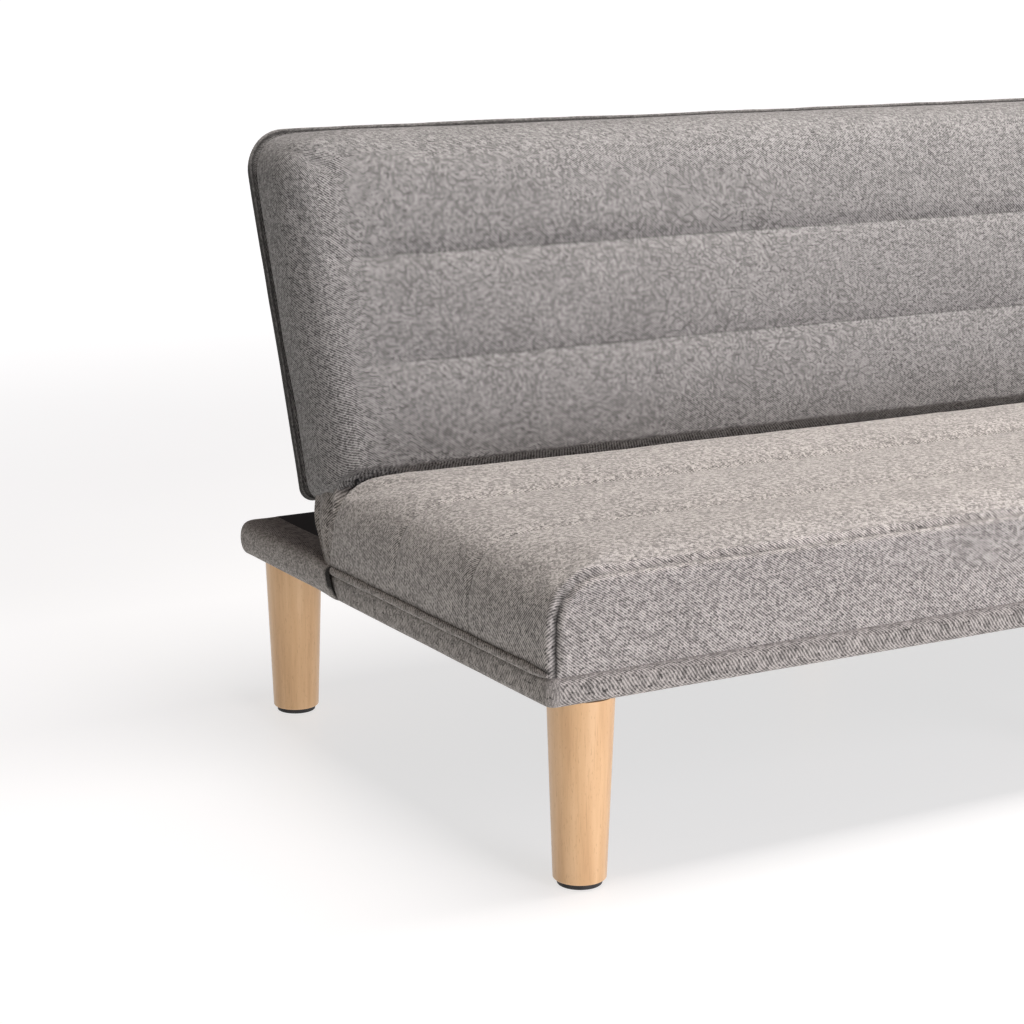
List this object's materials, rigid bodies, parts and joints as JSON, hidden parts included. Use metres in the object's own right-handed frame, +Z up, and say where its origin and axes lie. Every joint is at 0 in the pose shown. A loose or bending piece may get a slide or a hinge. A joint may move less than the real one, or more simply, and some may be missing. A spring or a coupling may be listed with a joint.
{
  "type": "futon sofa bed",
  "caption": "Click-clack futon sofa bed: low padded seat on turned wooden legs, with a padded backrest that reclines until it lies flat over the rear of the base.",
  "frame": {"origin": "on the floor under the middle of the sofa at rest, with the backrest upright", "axes": "+X along the sofa to the sitter's left hand, +Y to the rear, +Z up"},
  "size_m": [1.8, 0.8, 0.7685],
  "materials": {
    "grey_fabric": "heathered grey twill weave",
    "black_cloth": "black non-woven cloth",
    "beech": "light beech under satin lacquer",
    "frame_timber": "planed softwood",
    "hardboard": "brown hardboard",
    "foam": "cut polyurethane foam",
    "steel": "pressed zinc-plated steel",
    "glide_plastic": "matte black moulded plastic"
  },
  "bodies": {
    "base": {"seat_cover": "grey_fabric", "seat_border_front": "grey_fabric", "seat_border_left": "grey_fabric", "seat_border_right": "grey_fabric", "rear_wrap_left": "grey_fabric", "rear_wrap_right": "grey_fabric", "crease_gusset_left": "grey_fabric", "crease_gusset_right": "grey_fabric", "underside_dust_cover": "black_cloth", "rear_deck_cloth": "black_cloth", "front_rail": "frame_timber", "rear_rail": "frame_timber", "left_side_rail": "frame_timber", "right_side_rail": "frame_timber", "left_cross_rail": "frame_timber", "centre_cross_rail": "frame_timber", "right_cross_rail": "frame_timber", "seat_deck": "hardboard", "seat_foam": "foam", "leg_front_left": "beech", "leg_front_centre": "beech", "leg_front_right": "beech", "leg_rear_left": "beech", "leg_rear_centre": "beech", "leg_rear_right": "beech", "leg_glide_front_left": "glide_plastic", "leg_glide_front_centre": "glide_plastic", "leg_glide_front_right": "glide_plastic", "leg_glide_rear_left": "glide_plastic", "leg_glide_rear_centre": "glide_plastic", "leg_glide_rear_right": "glide_plastic", "leg_bolt_front_left": "steel", "leg_bolt_front_centre": "steel", "leg_bolt_front_right": "steel", "leg_bolt_rear_left": "steel", "leg_bolt_rear_centre": "steel", "leg_bolt_rear_right": "steel", "seat_arm_left": "steel", "seat_arm_right": "steel", "ratchet_left": "steel", "ratchet_right": "steel", "pivot_rivet_left": "steel", "pivot_rivet_right": "steel"},
    "backrest": {"back_bottom_rail": "frame_timber", "back_top_rail": "frame_timber", "back_centre_stile": "frame_timber", "back_left_stile": "frame_timber", "back_right_stile": "frame_timber", "back_panel": "hardboard", "back_foam": "foam", "back_cover": "grey_fabric", "back_border": "grey_fabric", "back_dust_cover": "black_cloth", "back_arm_left": "steel", "back_arm_right": "steel", "pawl_spring_left": "steel", "pawl_spring_right": "steel"},
    "pawl_left": {"pawl_left": "steel"},
    "pawl_right": {"pawl_right": "steel"}
  },
  "joints": [
    {"name": "backrest_recline", "type": "hinge", "parent": "base", "child": "backrest", "pos_m": [0, 0.127, 0.341], "axis": [-1, 0, 0], "range_deg": [-8, 72], "deforming": ["crease_gusset_left", "crease_gusset_right"]},
    {"name": "pawl_left_swing", "type": "hinge", "parent": "backrest", "child": "pawl_left", "pos_m": [-0.8593, 0.14442, 0.36346], "axis": [1, 0, 0], "range_deg": [0, 9.2]},
    {"name": "pawl_right_swing", "type": "hinge", "parent": "backrest", "child": "pawl_right", "pos_m": [0.8593, 0.14442, 0.36346], "axis": [1, 0, 0], "range_deg": [0, 9.2]}
  ]
}
